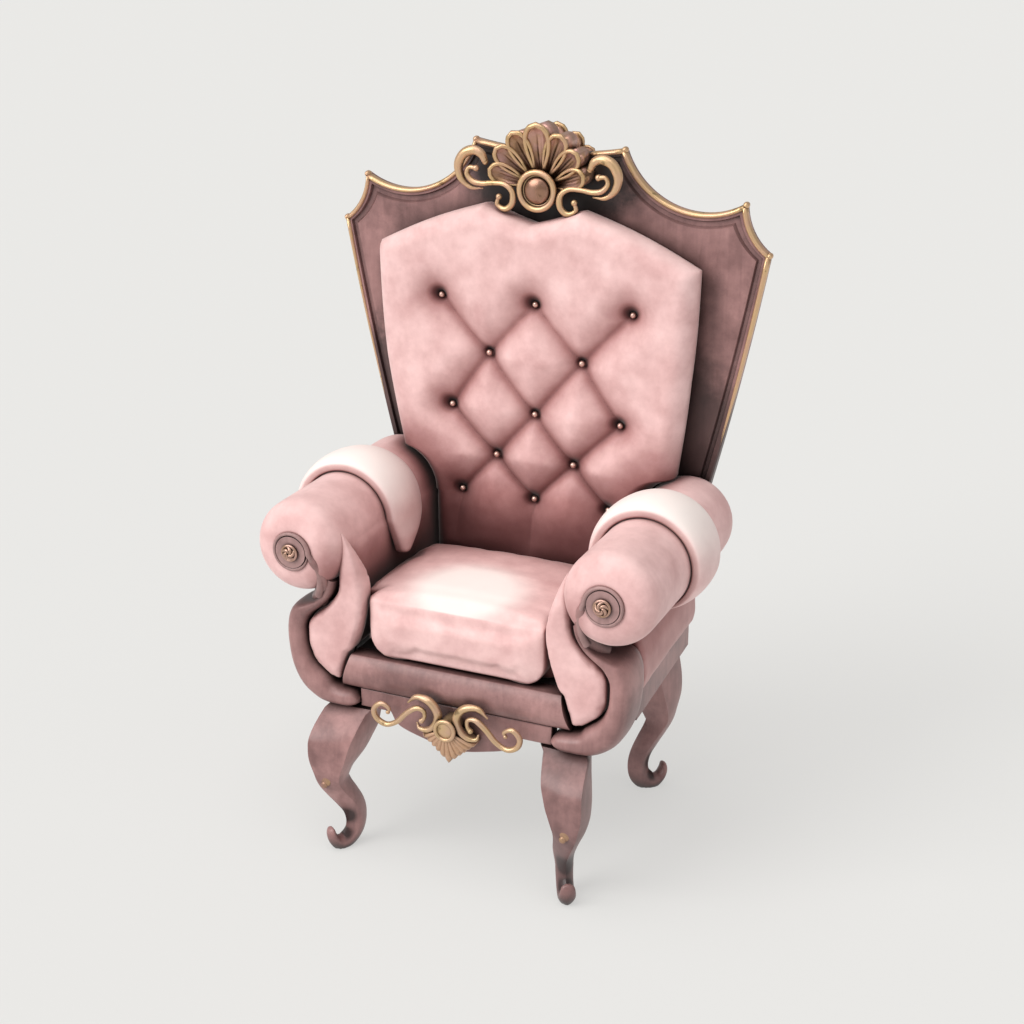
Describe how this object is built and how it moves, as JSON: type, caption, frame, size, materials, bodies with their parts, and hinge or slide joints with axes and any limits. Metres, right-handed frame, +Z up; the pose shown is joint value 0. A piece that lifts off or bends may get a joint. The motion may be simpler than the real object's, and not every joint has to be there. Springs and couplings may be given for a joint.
{
  "type": "throne",
  "caption": "High-backed upholstered throne with a buttoned shield-shaped back, rolled arms, carved scroll posts, cabriole legs and gilt mounts",
  "frame": {"origin": "on the floor under the middle of the bounding box", "axes": "+Z up, the front faces -Y, X runs across the seat"},
  "size_m": [0.976, 0.625, 1.5217],
  "materials": {
    "stained_wood": "satin mauve-brown stain",
    "pink_velvet": "dusty pink velvet",
    "antique_gilt": "antique gilt",
    "rose_studs": "rose gilt",
    "deck_cloth": "dark lining cloth"
  },
  "bodies": {
    "root": {"arm_left": "pink_velvet", "arm_sleeve_left": "pink_velvet", "arm_facing_left": "pink_velvet", "side_panel_left": "pink_velvet", "arm_post_left": "stained_wood", "arm_rosette_left": "antique_gilt", "back_trim_left": "antique_gilt", "seat_rail_left": "stained_wood", "leg_front_left": "stained_wood", "leg_mount_front_left": "antique_gilt", "leg_rear_left": "stained_wood", "leg_mount_rear_left": "antique_gilt", "arm_right": "pink_velvet", "arm_sleeve_right": "pink_velvet", "arm_facing_right": "pink_velvet", "side_panel_right": "pink_velvet", "arm_post_right": "stained_wood", "arm_rosette_right": "antique_gilt", "back_trim_right": "antique_gilt", "seat_rail_right": "stained_wood", "leg_front_right": "stained_wood", "leg_mount_front_right": "antique_gilt", "leg_rear_right": "stained_wood", "leg_mount_rear_right": "antique_gilt", "back_pad": "pink_velvet", "outside_back": "pink_velvet", "seat_cushion": "pink_velvet", "back_frame": "stained_wood", "seat_rail_front": "stained_wood", "seat_rail_rear": "stained_wood", "front_apron": "stained_wood", "seat_deck": "deck_cloth", "crest_mount": "antique_gilt", "crest_shell_rear": "antique_gilt", "apron_mount": "antique_gilt", "back_button_1": "rose_studs", "back_button_2": "rose_studs", "back_button_3": "rose_studs", "back_button_4": "rose_studs", "back_button_5": "rose_studs", "back_button_6": "rose_studs", "back_button_7": "rose_studs", "back_button_8": "rose_studs", "back_button_9": "rose_studs", "back_button_10": "rose_studs", "back_button_11": "rose_studs", "back_button_12": "rose_studs", "back_button_13": "rose_studs"}
  },
  "joints": []
}
